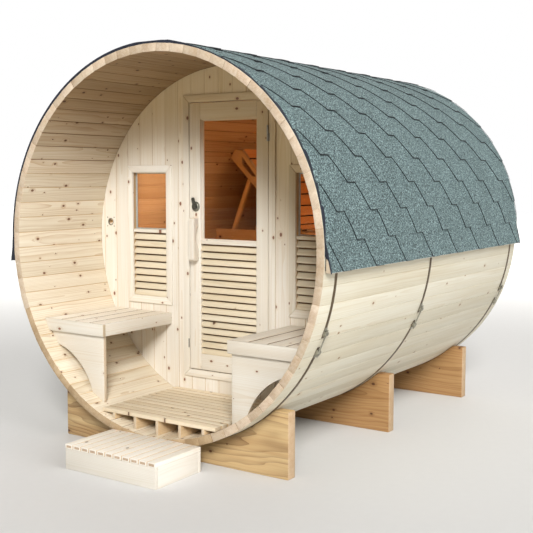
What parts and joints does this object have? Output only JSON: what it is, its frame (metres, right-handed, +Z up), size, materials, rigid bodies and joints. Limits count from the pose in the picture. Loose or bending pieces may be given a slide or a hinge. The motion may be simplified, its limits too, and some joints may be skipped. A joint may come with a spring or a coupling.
{
  "type": "outdoor barrel sauna",
  "caption": "Round timber sauna cabin built of staves on cradles, with a shingled half-round roof, an open porch with benches, a glazed hinged door, louvred windows and a loose step.",
  "frame": {"origin": "on the ground, at the centre of the underside of the middle cradle, half-way along the barrel", "axes": "+Z up, +Y along the barrel towards the closed rear end, so the porch and door face -Y; +X is to the right seen from the front"},
  "size_m": [2.0745, 2.7383, 2.0975],
  "materials": {
    "stave_pine": "planed, pale",
    "pine": "planed",
    "cabin_wood": "planed, warm",
    "cradle_wood": "sawn, impregnated",
    "shingles": "grey-green mineral grit",
    "underlay": "bitumen felt",
    "steel": "stainless strap",
    "dark_metal": "dark, satin",
    "bronze_glass": "bronze tinted"
  },
  "bodies": {
    "cabin": {"staves_right": "stave_pine", "staves_upper_right": "stave_pine", "staves_top": "stave_pine", "staves_upper_left": "stave_pine", "staves_left": "stave_pine", "staves_lower_left": "stave_pine", "staves_bottom": "stave_pine", "staves_lower_right": "stave_pine", "bands": "steel", "band_tensioners": "steel", "roof_underlay": "underlay", "roof_right": "shingles", "roof_left": "shingles", "roof_ridge": "shingles", "eave_battens": "pine", "front_cradle": "cradle_wood", "middle_cradle": "cradle_wood", "rear_cradle": "cradle_wood", "front_wall_left": "pine", "front_wall_right": "pine", "front_wall_head": "pine", "front_wall_sill": "pine", "back_wall": "pine", "door_casing": "pine", "window_casings": "pine", "window_glass": "bronze_glass", "window_louvres": "pine", "window_backing": "pine", "porch_joists": "pine", "porch_floor": "pine", "cabin_joists": "pine", "cabin_floor": "pine", "bench_panels": "pine", "bench_fascias": "pine", "bench_seats": "pine", "bench_cleats": "pine", "step_box": "pine", "step_treads": "pine", "lounger_rails": "cabin_wood", "lounger_frames": "cabin_wood", "lounger_slats": "cabin_wood", "lounger_struts": "cabin_wood", "frame_hinges": "dark_metal"},
    "door": {"door_stiles": "pine", "door_rails": "pine", "door_glass": "bronze_glass", "door_louvre": "pine", "door_backing": "pine", "door_handle": "pine", "door_hinges": "dark_metal", "latch_rosette": "dark_metal"},
    "lever": {"latch_lever": "dark_metal"}
  },
  "joints": [
    {"name": "door_hinge", "type": "hinge", "parent": "cabin", "child": "door", "pos_m": [0.269, -0.566, 1.085], "axis": [0, 0, 1], "range_deg": [0, 95]},
    {"name": "latch_turn", "type": "hinge", "parent": "door", "child": "lever", "pos_m": [-0.2225, -0.57, 1.27], "axis": [0, -1, 0], "range_deg": [0, 90]}
  ]
}
